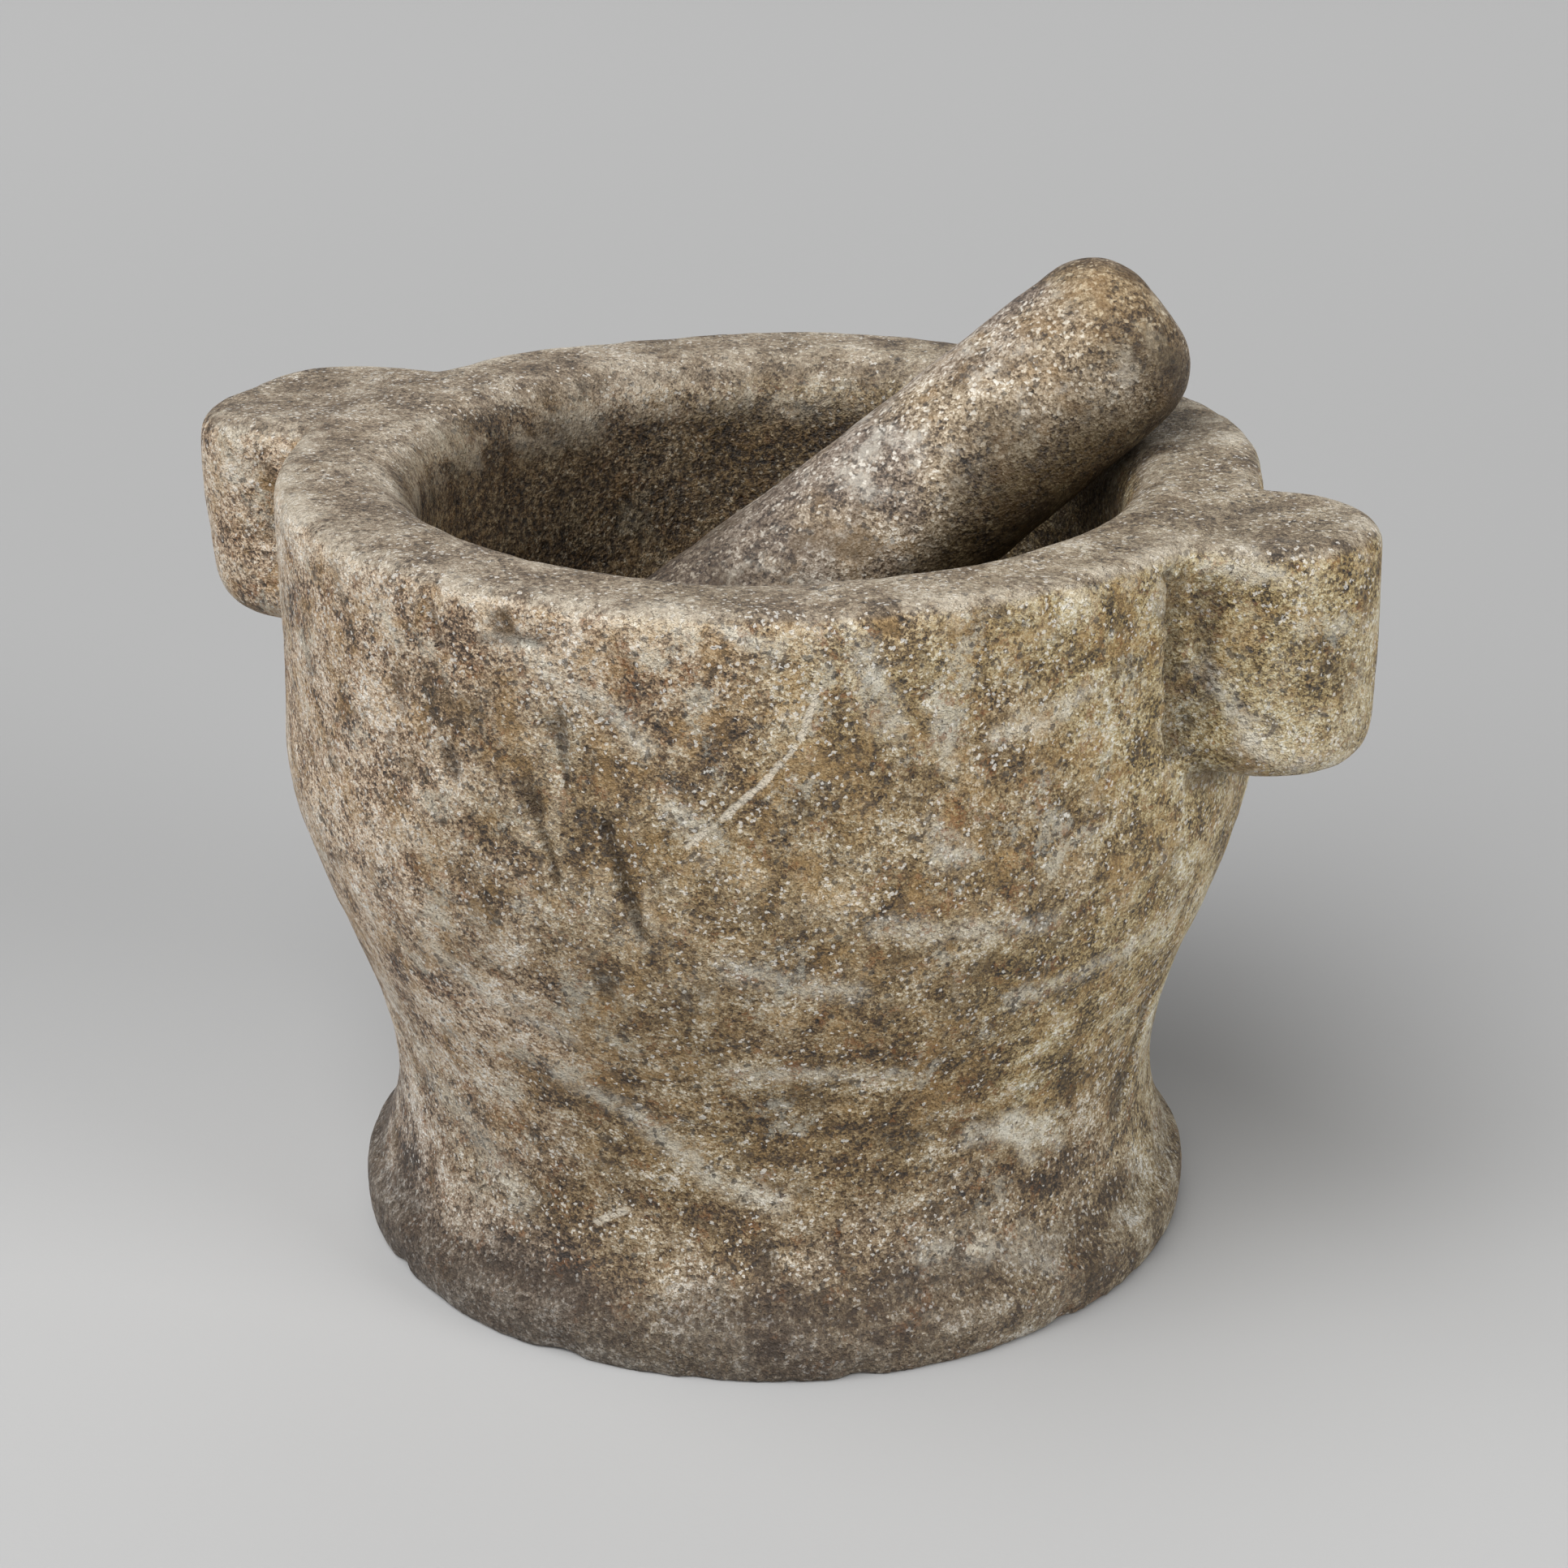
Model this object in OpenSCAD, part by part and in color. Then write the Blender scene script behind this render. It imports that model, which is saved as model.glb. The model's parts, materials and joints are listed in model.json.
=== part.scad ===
// Stone mortar and pestle. The mortar is one carved block with two grip lugs, and the
// pestle leans in its bowl. +Z is up, +X runs through the round lug, and the origin is
// the centre of the foot's underside. Millimetres.

/* [Mortar body] */
// Height of the mortar, from its underside to its rim
mortar_h = 215; // [212:0.5:218]
// Diameter of the belly and the rim
belly_d = 262; // [256:1:270]
// Height at which the belly reaches its full diameter
belly_z = 144; // [130:1:155]
// Diameter of the waist above the foot
waist_d = 212.6; // [200:0.2:224]
// Height of the waist
waist_z = 44; // [38:1:52]
// Diameter of the foot where it is widest
foot_d = 234; // [228:1:242]
// Height of the worn bevel round the foot's lower edge
foot_bevel_h = 9; // [6:1:14]
// How far the worn bevel cuts in under the foot
foot_bevel_in = 1.5; // [1:0.5:6]
// Radius of the rim's outer edge
rim_edge_r = 5; // [3:0.5:8]

/* [Bowl] */
// Diameter of the bowl below the rolled inner edge of the rim
bowl_d = 188; // [187:1:192]
// Radius of the rolled inner edge of the rim
bowl_roll_r = 16; // [12:1:17]
// Depth of the bowl, measured from the rim
bowl_depth = 160; // [158:1:168]
// Fullness of the bowl: 2 is an ellipse, more is squarer
bowl_fullness = 2.5; // [2.5:0.1:3]

/* [Grip lugs] */
// Reach of the round lug from the mortar's axis
round_lug_reach = 166; // [160:1:174]
// Width of the round lug
round_lug_w = 56; // [50:1:64]
// Height of the round lug
round_lug_h = 62; // [50:1:66]
// Reach of the wide lug from the mortar's axis
wide_lug_reach = 171; // [164:1:182]
// Width of the wide lug
wide_lug_w = 73; // [66:1:80]
// Height of the wide lug
wide_lug_h = 59; // [46:1:64]
// Radius of the wide lug's two outer corners, seen from above
wide_lug_corner_r = 28; // [20:1:32]
// Angle by which the wide lug is set off the line of the round one
wide_lug_skew = -4; // [-6:0.5:4]
// How far the tops of the lugs lie below the rim
lug_drop = 1; // [0.5:0.5:3]
// Radius of the lugs' upper edges
lug_top_r = 5; // [3:0.5:8]
// Radius of the lugs' lower edges
lug_bottom_r = 10; // [6:1:14]

/* [Pestle] */
// Length of the pestle
pestle_l = 234; // [226:1:234]
// Diameter of the pestle at its grip
grip_d = 51; // [46:0.5:51]
// Diameter of the pestle at its grinding end
grind_d = 58; // [52:0.5:58]
// Radius of the edge round the top of the grip
grip_edge_r = 18; // [12:1:22]
// Direction in which the pestle leans, seen from above
lean_azimuth = 36; // [0:0.5:90]
// Angle between the leaning pestle and level ground
lean_angle = 36.7; // [36.6:0.1:37]
// Height at which the pestle's axis crosses the mortar's axis
lean_z = 169.6; // [169.6:0.1:170.5]
// Length of the pestle that lies beyond the mortar's axis, on the grip's side
grip_side_l = 134.5; // [134.5:0.5:140]

/* [Hidden] */
$fn = 96;

stone_grey = [0.56, 0.52, 0.45];
pestle_grey = [0.60, 0.57, 0.51];

curve_steps = 24;
arc_steps = 10;

belly_r = belly_d / 2;
waist_r = waist_d / 2;
foot_r = foot_d / 2;
bowl_r = bowl_d / 2;
grip_r = grip_d / 2;
grind_r = grind_d / 2;

// The hollow between the foot and the waist is one arc through both.
flare_dz = waist_z - foot_bevel_h;
flare_dr = foot_r - waist_r;
flare_r = (flare_dz * flare_dz + flare_dr * flare_dr) / (2 * flare_dr);
flare_angle = asin(flare_dz / flare_r);

roll_z = mortar_h - bowl_roll_r;
bowl_floor_z = mortar_h - bowl_depth;
above_rim = 1;

// A lug starts inside the wall, this far out from the rolled edge of the bowl.
lug_root_gap = 2;
// The two bodies of a lug run this far into each other.
lug_overlap = 1;
lug_top_z = mortar_h - lug_drop;
lug_root = bowl_r + bowl_roll_r + lug_root_gap;

// Points on an arc, from one angle to another.
function arc(centre, r, from, to) =
    [for (i = [0 : arc_steps])
        let (a = from + (to - from) * i / arc_steps)
        centre + r * [cos(a), sin(a)]];

// Rises from 0 to 1 with level ends.
function ease(t) = t * t * (3 - 2 * t);

// The side of the body from the waist up to the belly.
belly_curve = [for (i = [1 : curve_steps])
    let (t = i / curve_steps)
    [waist_r + (belly_r - waist_r) * ease(t), waist_z + (belly_z - waist_z) * t]];

body_outline = concat(
    [[0, 0], [foot_r - foot_bevel_in, 0]],
    arc([waist_r + flare_r, waist_z], flare_r, 180 + flare_angle, 180),
    belly_curve,
    arc([belly_r - rim_edge_r, mortar_h - rim_edge_r], rim_edge_r, 0, 90),
    [[0, mortar_h]]
);

// The bowl from its floor up to the rolled edge of the rim.
bowl_curve = [for (i = [0 : curve_steps])
    let (a = 90 * i / curve_steps)
    [bowl_r * pow(sin(a), 2 / bowl_fullness),
     roll_z - (roll_z - bowl_floor_z) * pow(cos(a), 2 / bowl_fullness)]];

bowl_outline = concat(
    bowl_curve,
    arc([bowl_r + bowl_roll_r, roll_z], bowl_roll_r, 180, 90),
    [[bowl_r + bowl_roll_r, mortar_h + above_rim], [0, mortar_h + above_rim]]
);

// The pestle from the middle of its grinding end to the middle of its grip's top.
pestle_outline = concat(
    arc([0, grind_r], grind_r, -90, 0),
    arc([grip_r - grip_edge_r, pestle_l - grip_edge_r], grip_edge_r, 0, 90),
    [[0, pestle_l]]
);

// A slice of a lug, from its inner side out to its rounded outer edges.
function lug_slice(inner, outer, h) = concat(
    [[inner, lug_top_z - h]],
    arc([outer - lug_bottom_r, lug_top_z - h + lug_bottom_r], lug_bottom_r, -90, 0),
    arc([outer - lug_top_r, lug_top_z - lug_top_r], lug_top_r, 0, 90),
    [[inner, lug_top_z]]
);

// A lug along +X with two rounded outer corners.
module lug(reach, w, h, corner_r) {
    corner_x = reach - corner_r;
    corner_y = w / 2 - corner_r;
    translate([lug_root, 0, 0])
        rotate([90, 0, 90])
            linear_extrude(corner_x - lug_root) {
                polygon(lug_slice(0, w / 2, h));
                mirror([1, 0]) polygon(lug_slice(0, w / 2, h));
            }
    for (y = [-corner_y, corner_y])
        translate([corner_x, y, 0])
            rotate_extrude() polygon(lug_slice(0, corner_r, h));
    if (corner_y > 0)
        translate([0, corner_y, 0])
            rotate([90, 0, 0])
                linear_extrude(2 * corner_y)
                    polygon(lug_slice(corner_x - lug_overlap, reach, h));
}

module mortar() {
    color(stone_grey)
        difference() {
            union() {
                rotate_extrude() polygon(body_outline);
                lug(round_lug_reach, round_lug_w, round_lug_h, round_lug_w / 2);
                rotate([0, 0, 180 + wide_lug_skew])
                    lug(wide_lug_reach, wide_lug_w, wide_lug_h, wide_lug_corner_r);
            }
            rotate_extrude() polygon(bowl_outline);
        }
}

module pestle() {
    color(pestle_grey)
        translate([0, 0, lean_z])
            rotate([0, 90 - lean_angle, lean_azimuth])
                translate([0, 0, grip_side_l - pestle_l])
                    rotate_extrude() polygon(pestle_outline);
}

mortar();
pestle();
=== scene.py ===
"""Looks of a hand-carved stone mortar with its loose pestle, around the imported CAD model."""
import json
import math

import bpy
import numpy as np
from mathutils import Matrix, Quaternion, Vector, noise
from mathutils.bvhtree import BVHTree

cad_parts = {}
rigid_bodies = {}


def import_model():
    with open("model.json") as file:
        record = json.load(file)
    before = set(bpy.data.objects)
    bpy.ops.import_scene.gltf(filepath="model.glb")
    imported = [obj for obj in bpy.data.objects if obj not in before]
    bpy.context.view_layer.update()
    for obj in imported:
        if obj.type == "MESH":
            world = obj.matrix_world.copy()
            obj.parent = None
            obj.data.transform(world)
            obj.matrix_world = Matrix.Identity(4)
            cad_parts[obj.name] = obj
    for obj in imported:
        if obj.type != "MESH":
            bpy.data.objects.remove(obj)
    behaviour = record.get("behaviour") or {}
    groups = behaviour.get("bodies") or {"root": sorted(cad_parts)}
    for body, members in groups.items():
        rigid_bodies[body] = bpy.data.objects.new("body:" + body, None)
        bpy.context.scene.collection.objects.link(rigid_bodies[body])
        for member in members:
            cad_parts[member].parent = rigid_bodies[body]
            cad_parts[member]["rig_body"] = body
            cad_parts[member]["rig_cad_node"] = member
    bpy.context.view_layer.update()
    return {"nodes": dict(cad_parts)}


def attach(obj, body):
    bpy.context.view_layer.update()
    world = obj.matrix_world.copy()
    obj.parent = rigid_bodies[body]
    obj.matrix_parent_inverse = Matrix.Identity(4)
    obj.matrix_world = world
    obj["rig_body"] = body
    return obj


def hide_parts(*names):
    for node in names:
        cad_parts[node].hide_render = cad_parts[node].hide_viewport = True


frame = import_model()

MM = 0.001

# ---- Sizes and places, in millimetres and degrees. Azimuth turns from +X towards +Y. ----

MORTAR_VOXEL = 1.55
PESTLE_VOXEL = 1.15
MORTAR_TRIANGLES = 197000
STAIR_ROUNDS = 5
FILLET_ROUNDS = 12
RELIEF_ROUNDS = 36

# A corner filled by this much keeps the whole fillet; an outer edge keeps only a small share.
FILLET_FULL = 0.4
EDGE_SHARE = 0.07
CORNER_SHARE = 0.93

# Where the two stones touch, little unevenness is left, within this reach.
CONTACT_REACH = 16.0
CONTACT_SHARE = 0.12
CONTACTS_APART = 60

# The outer wall is looked for from this far out, straight towards the axis.
WALL_SEARCH_START = 400

# Hand-carved unevenness: (size of the waves, height, offset into the noise).
MORTAR_WAVES = [(95, 0.8, 3.1), (34, 0.5, 7.7), (13, 0.30, 12.9), (5.5, 0.18, 21.3)]
PESTLE_WAVES = [(60, 1.3, 33.0), (22, 0.5, 41.0), (9, 0.22, 47.0), (4.5, 0.12, 52.0)]

# Broad swellings and hollows of the mortar: (azimuth, height, reach, height of the swelling).
MORTAR_SWELLS = [
    (-170, 212, 20, 1.5),
    (150, 212, 34, 1.8),
    (112, 212, 44, 1.0),
    (38, 205, 32, 1.8),
    (0, 190, 36, 1.2),
    (24, 120, 44, 1.3),
    (-156, 116, 34, 2.6),
    (-105, 2, 30, 1.2),
    (-65, 2, 34, 1.4),
    (-138, 10, 24, 0.8),
]

# The same for the sides of the lugs, whose tops stay flat.
LUG_SWELLS = [(-176, 203, 22, 3.2), (-176, 176, 24, 2.0)]

# Tool marks on the wall: (azimuth and height along the mark, width, depth).
GOUGES = [
    ([(-83.4, 159), (-82.2, 150), (-81.2, 141), (-79.8, 131)], 2.4, 1.8),
    ([(-82.3, 148), (-80.3, 136)], 3.4, 0.6),
    ([(-92.4, 167), (-91.6, 160)], 4.6, 1.0),
    ([(-91.8, 163), (-90.4, 154), (-89.0, 143)], 2.0, 1.2),
    ([(-88.2, 188), (-88.0, 178), (-87.7, 168)], 1.9, 1.0),
    ([(-89.4, 184), (-88.4, 180)], 3.4, 0.9),
    ([(-102.4, 172), (-101.8, 166)], 3.8, 0.9),
    ([(-94.8, 209), (-94.0, 206)], 4.4, 1.1),
    ([(-97.5, 202), (-90.0, 204.5)], 2.6, 0.9),
    ([(-104.0, 208), (-103.0, 199)], 2.8, 0.8),
    ([(-110.0, 187), (-109.0, 178)], 3.6, 0.7),
    ([(-85.6, 118), (-84.4, 111)], 4.2, 0.6),
    ([(-66.8, 35), (-66.2, 25)], 5.0, 0.8),
    ([(-3.0, 78), (-1.6, 62), (-5.0, 46)], 5.5, 1.3),
    ([(140, 150), (146, 128), (150, 112)], 5.0, 1.3),
    ([(96, 176), (101, 160)], 4.4, 1.0),
    ([(62, 96), (71, 88)], 5.0, 0.9),
    ([(118, 60), (121, 49)], 4.2, 1.0),
    ([(40, 150), (43, 141)], 3.8, 0.8),
]
SCRATCHES = [
    ([(-61.0, 194), (-62.6, 183), (-66.4, 173), (-70.7, 163.5), (-74.5, 156)], 1.25, 0.30),
    ([(-91.6, 36.5), (-86.6, 42.0)], 1.2, 0.30),
    ([(78, 171), (92, 150), (99, 131)], 1.3, 0.30),
]

# Pale veins in the stone: (azimuth and height along the vein, width, paleness).
VEINS = [
    ([(-92, 202), (-87, 194), (-82, 189), (-79, 181)], 4.0, 0.8),
    ([(-71, 212), (-65, 206)], 2.6, 1.0),
    ([(-97, 203), (-90, 204)], 2.0, 1.0),
    ([(-112, 204), (-109, 196)], 2.4, 0.9),
    ([(-56, 206), (-55, 193), (-53, 187)], 6.0, 0.7),
    ([(-48, 190), (-47, 177)], 5.0, 0.6),
    ([(-48, 157), (-46, 150)], 6.0, 0.7),
    ([(-41, 180), (-33, 183), (-29, 188)], 4.0, 0.8),
    ([(-76, 165), (-75, 164)], 4.5, 1.0),
    ([(-54, 134), (-43, 129), (-33, 127)], 4.5, 0.7),
    ([(-70, 123), (-63, 118), (-56, 114)], 5.0, 0.7),
    ([(-110, 116), (-102, 102), (-91, 95)], 4.5, 0.6),
    ([(-94, 83), (-83, 71), (-74, 55), (-65, 48)], 5.0, 0.8),
    ([(-126, 62), (-113, 50), (-105, 36)], 8.0, 0.6),
    ([(-71, 90), (-61, 89), (-50, 86)], 3.0, 0.8),
    ([(-38, 61), (-30, 61), (-22, 50)], 5.5, 0.8),
    ([(-32, 62), (-26, 46)], 3.5, 0.8),
    ([(-44, 29), (-34, 26), (-25, 18)], 6.0, 0.7),
    ([(-36, 105), (-24, 107), (-13, 109)], 4.0, 0.7),
    ([(-12.4, 183), (-11.4, 174), (-10.2, 162)], 4.6, 1.0),
    ([(-12.2, 209), (-11.0, 209), (-9.8, 209)], 3.2, 0.8),
    ([(60, 150), (80, 120), (100, 104), (118, 98)], 5.0, 0.7),
    ([(120, 66), (150, 90)], 5.0, 0.6),
    ([(28, 64), (46, 40)], 6.0, 0.6),
    ([(170, 118), (196, 96), (215, 90)], 5.0, 0.7),
]

# Creases where the lugs meet the wall, written like the tool marks.
CREASES = [
    ([(-16.0, 207), (-15.5, 185), (-15.0, 162)], 6.0, 3.8),
    ([(15.0, 207), (15.0, 160)], 4.5, 1.8),
    ([(158.5, 207), (158.5, 163)], 4.5, 1.6),
    ([(193.5, 207), (193.5, 163)], 4.5, 1.6),
]

# Dark smudges on the wall: (azimuth, height, reach, darkness).
SMUDGES = [
    (-102, 169, 6.0, 0.55), (-94.5, 207, 7.0, 0.60), (-109, 160, 6.0, 0.50),
    (-111, 183, 6.5, 0.40), (-92, 162.5, 6.5, 0.75), (-88.5, 182, 5.0, 0.60),
    (-83, 157, 4.5, 0.60), (-98, 209, 6.0, 0.40), (-85, 115, 6.5, 0.60),
    (-82.5, 131, 4.0, 0.65), (-103.5, 104, 6.5, 0.45), (-105.5, 132, 5.0, 0.35),
    (-76.5, 173, 7.0, 0.45), (-66.5, 30, 6.0, 0.50), (-77, 62, 8.0, 0.45),
    (-40.5, 66, 8.0, 0.50), (-33.5, 208, 6.0, 0.45), (-26, 156, 5.0, 0.45),
    (-73, 116, 26.0, 0.50), (-62, 96, 22.0, 0.42), (-30.5, 186, 4.5, 0.40),
    (-82, 14, 24.0, 0.85), (-69, 147, 24.0, 0.36), (-80, 193, 18.0, 0.38),
    (60, 176, 9.0, 0.50), (84, 132, 7.0, 0.45), (112, 196, 8.0, 0.50),
    (128, 96, 9.0, 0.45), (150, 60, 9.0, 0.40), (38, 104, 8.0, 0.45),
]

# The marks' ragged outlines: size of the noise, its share of the width, offset into the noise.
RAGGED_SIZE = 4.0
RAGGED_AMOUNT = 0.45
RAGGED_OFFSET = 71.0

# A worn ridge round the foot, and chips along the edges of foot and rim: (azimuth, reach, depth).
RIDGE_HEIGHT = 13.0
RIDGE_WIDTH = 2.8
RIDGE_RISE = 1.2
# The ridge leaves out faces that look down more steeply than this, and the middle of the foot.
RIDGE_LOWEST_NORMAL = -0.8
RIDGE_INNER_RADIUS = 90
FOOT_EDGE = 2.0
FOOT_CHIPS = [(-55, 7.5, 1.6), (-95, 9.0, 1.8), (-76, 5.0, 0.9), (-128, 6.0, 1.1), (-24, 6.5, 1.2)]
FOOT_CHIPS += [(35, 8.0, 1.5), (88, 6.0, 1.1), (131, 9.0, 1.7), (176, 6.5, 1.2)]
RIM_EDGE = 210.0
RIM_CHIPS = [(-130, 5.0, 0.7), (-93, 6.0, 0.8), (-52, 4.5, 0.6), (-34, 5.5, 0.9), (41, 6.0, 1.0)]
RIM_CHIPS += [(72, 5.0, 0.7), (104, 7.0, 1.2), (139, 5.0, 0.8)]

# Small pits all over both stones.
PIT_COUNT = 620
PIT_RADIUS = (1.3, 2.6)
PIT_DEPTH = (0.18, 0.65)
MORTAR_PIT_SEED = 11
PESTLE_PIT_SEED = 23
PESTLE_PIT_SHARE = 0.6

# Depths at which the painted layers are full. A crease gets no painted shade down to its first
# depth below; the pit and crease shares say how dark the pit dirt and the crease shade get.
GOUGE_FULL = 0.9
MORTAR_PIT_FULL = 0.5
PESTLE_PIT_FULL = 0.4
PIT_DIRT = 0.6
CREASE_UNSHADED = 0.8
CREASE_FULL = 2.2
CREASE_SHADE = 0.85
SCRATCH_FULL = 0.2
HOLLOW_FULL = 0.5
WORN_FULL = 0.9

# The inside of the bowl, for the painted shade that darkens it: its top, the depth at which the
# layer is full, its radius, and a height that lies below its floor.
BOWL_TOP = 214
BOWL_DEPTH = 150
BOWL_RADIUS = 101
BELOW_BOWL = 40

# The pestle's profile along its axis: (distance from its middle, reach, swelling).
PESTLE_SWELLS = [(-60, 34, 0.9), (12, 22, -0.4), (52, 20, 0.5), (98, 14, -0.5)]

# For the camera and the lights, azimuth turns from -Y towards +X.
CAMERA_AIM = (5.1, -3.2, 122.5)
CAMERA_AZIMUTH = 24.29
CAMERA_ELEVATION = 21.75
CAMERA_DISTANCE = 960
CAMERA_ROLL = -0.39
CAMERA_LENS = 80.12
CAMERA_SENSOR = 36

# The floor and the lights are in metres. The floor's tone is painted light and shade: darker just
# behind the mortar and under the lights, lighter far off.
FLOOR_RADIUS = 30.0
FLOOR_SIDES = 96
LIGHT_AIM = (0, 0, 0.12)
LIGHT_DISTANCE = 12.0
WORLD_BRIGHTNESS = 0.175

# Soft round lights: (name, azimuth, elevation, width, power in watts).
LIGHTS = [
    ("key_light", -8, 48, 12.0, 1540),
    ("side_light", -52, 60, 11.0, 860),
    ("fill_light", 84, 16, 6.8, 1100),
    ("back_light", 200, 38, 6.8, 152),
]


# ---- Mesh work ----

def copy_of(node, name):
    """A new object with the CAD node's mesh, its doubled corners merged into one closed skin."""
    piece = frame["nodes"][node].copy()
    piece.data = frame["nodes"][node].data.copy()
    piece.parent = None
    piece.name = name
    piece.data.name = name
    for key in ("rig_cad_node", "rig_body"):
        if key in piece:
            del piece[key]
    piece.data.materials.clear()
    bpy.context.scene.collection.objects.link(piece)
    weld = piece.modifiers.new("weld", "WELD")
    weld.merge_threshold = 0.01 * MM
    bake_modifiers(piece)
    return piece


def bake_modifiers(piece):
    """Puts the piece's modifiers into its mesh."""
    graph = bpy.context.evaluated_depsgraph_get()
    mesh = bpy.data.meshes.new_from_object(piece.evaluated_get(graph), depsgraph=graph)
    piece.modifiers.clear()
    mesh.name = piece.name
    piece.data = mesh


def remesh(piece, voxel):
    """Turns the piece into even small faces, ready for carving."""
    modifier = piece.modifiers.new("remesh", "REMESH")
    modifier.mode = "VOXEL"
    modifier.voxel_size = voxel * MM
    bake_modifiers(piece)


def decimate(piece, triangles):
    """Thins the mesh out where it is flat, down to that many triangles."""
    now = sum(len(face.vertices) - 2 for face in piece.data.polygons)
    if now > triangles:
        modifier = piece.modifiers.new("decimate", "DECIMATE")
        modifier.ratio = triangles / now
        bake_modifiers(piece)


def read_points(piece, what="co"):
    """The places or normals of the mesh's vertices, as an array."""
    values = np.zeros(len(piece.data.vertices) * 3, np.float32)
    piece.data.vertices.foreach_get(what, values)
    return values.reshape(-1, 3).astype(float)


def write_points(piece, points):
    piece.data.vertices.foreach_set("co", points.astype(np.float32).ravel())
    piece.data.update()


def read_edges(piece):
    values = np.zeros(len(piece.data.edges) * 2, np.int32)
    piece.data.edges.foreach_get("vertices", values)
    return values.reshape(-1, 2)


def surface_tree(mesh):
    """The mesh as a search tree for its surface."""
    corners = [vertex.co for vertex in mesh.vertices]
    return BVHTree.FromPolygons(corners, [face.vertices for face in mesh.polygons])


def relax(points, edges, rounds, share=0.5):
    """Moves every point part of the way to the middle of its neighbours, again and again."""
    first, second = edges[:, 0], edges[:, 1]
    count = len(points)
    neighbours = np.bincount(first, minlength=count) + np.bincount(second, minlength=count)
    points = points.copy()
    for _ in range(rounds):
        middle = np.empty_like(points)
        for axis in range(3):
            column = points[:, axis]
            total = np.bincount(first, column[second], count)
            total += np.bincount(second, column[first], count)
            middle[:, axis] = total / neighbours
        points += share * (middle - points)
    return points


def soften(piece):
    """Wears the edges down a little and fills the sharp inner corners with a fillet."""
    edges = read_edges(piece)
    start = relax(read_points(piece), edges, STAIR_ROUNDS)
    write_points(piece, start)
    normals = read_points(piece, "normal")
    worn = relax(start, edges, FILLET_ROUNDS)
    rise = np.einsum("ij,ij->i", worn - start, normals)
    share = np.clip(rise / (FILLET_FULL * MM), 0, 1) * CORNER_SHARE + EDGE_SHARE
    write_points(piece, start + (worn - start) * share[:, None])


def waves(points, layers):
    """Sum of smooth noise layers, in metres, at each point."""
    total = np.zeros(len(points))
    for size, height, offset in layers:
        scaled = points / (size * MM) + offset
        total += height * MM * np.array([noise.noise(Vector(p)) for p in scaled])
    return total


def bump_at(distance, reach):
    """A smooth round bump: one at its centre, nothing beyond its reach."""
    t = np.clip(1 - (distance / reach) ** 2, 0, None)
    return t * t


def distance_to_line(points, line):
    """How far each point is from a line of joined straight stretches."""
    best = np.full(len(points), np.inf)
    for start, end in zip(line[:-1], line[1:]):
        along = end - start
        t = np.clip((points - start) @ along / (along @ along), 0, 1)
        gap = np.linalg.norm(points - start - t[:, None] * along, axis=1)
        best = np.minimum(best, gap)
    return best


def wall_finder(piece):
    """A function from an azimuth in degrees and a height in millimetres to the outer wall."""
    tree = surface_tree(piece.data)

    def find(azimuth, height):
        turn = math.radians(azimuth)
        outward = Vector((math.cos(turn), math.sin(turn), 0))
        start = outward * (WALL_SEARCH_START * MM) + Vector((0, 0, height * MM))
        return np.array(tree.ray_cast(start, -outward)[0])

    return find


def add_swells(lift, points, find, swells, share=1.0):
    """Adds broad round swellings around places on the wall to the lift, in metres."""
    for azimuth, height, reach, rise in swells:
        gap = np.linalg.norm(points - find(azimuth, height), axis=1)
        lift += rise * MM * share * np.exp(-((gap / (reach * MM)) ** 2))


def carve_marks(points, find, marks):
    """Depth of the tool marks at each point: rounded at both ends, and rough along their length."""
    depth = np.zeros(len(points))
    ragged = waves(points, [(RAGGED_SIZE, RAGGED_AMOUNT, RAGGED_OFFSET)])
    for places, width, deep in marks:
        line = [find(*place) for place in places]
        gap = np.abs(distance_to_line(points, line) + ragged * width)
        depth += deep * MM * bump_at(gap, width * MM)
    return depth


def carve_chips(points, find, height, chips):
    """Depth of the chips along an edge of the mortar at that height."""
    depth = np.zeros(len(points))
    for azimuth, reach, deep in chips:
        gap = np.linalg.norm(points - find(azimuth, height), axis=1)
        depth += deep * MM * bump_at(gap, reach * MM)
    return depth


def carve_pits(points, seed):
    """Depth of small round pits scattered over the whole surface."""
    chance = np.random.default_rng(seed)
    depth = np.zeros(len(points))
    for _ in range(PIT_COUNT):
        centre = points[chance.integers(len(points))]
        radius = chance.uniform(*PIT_RADIUS) * MM
        deep = chance.uniform(*PIT_DEPTH) * MM
        spots = np.flatnonzero(np.abs(points[:, 0] - centre[0]) < radius)
        gap = np.linalg.norm(points[spots] - centre, axis=1)
        depth[spots] += deep * bump_at(gap, radius)
    return depth


def contact_share(points, contacts):
    """How much unevenness each point may have: little where the two stones touch."""
    share = np.ones(len(points))
    for contact in contacts:
        gap = np.linalg.norm(points - contact, axis=1) / (CONTACT_REACH * MM)
        t = np.clip(gap - 0.5, 0, 1)
        smooth_step = t * t * (3 - 2 * t)
        share = np.minimum(share, CONTACT_SHARE + (1 - CONTACT_SHARE) * smooth_step)
    return share


def paint_relief(piece, darkening, bowl, vein):
    """Stores the dirt and crease shade, the hollows for painted shade, worn stone, the bowl's depth
    and the pale veins.
    """
    points = read_points(piece)
    normals = read_points(piece, "normal")
    smooth = relax(points, read_edges(piece), RELIEF_ROUNDS)
    rise = np.einsum("ij,ij->i", smooth - points, normals)
    hollow = np.clip(rise / (HOLLOW_FULL * MM), 0, 1)
    worn = np.clip(-rise / (WORN_FULL * MM), 0, 1)
    layers = {"hollow": hollow, "worn": worn, "mark": darkening, "bowl": bowl, "vein": vein}
    for name, values in layers.items():
        layer = piece.data.attributes.new(name, "FLOAT", "POINT")
        layer.data.foreach_set("value", values.astype(np.float32))


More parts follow.
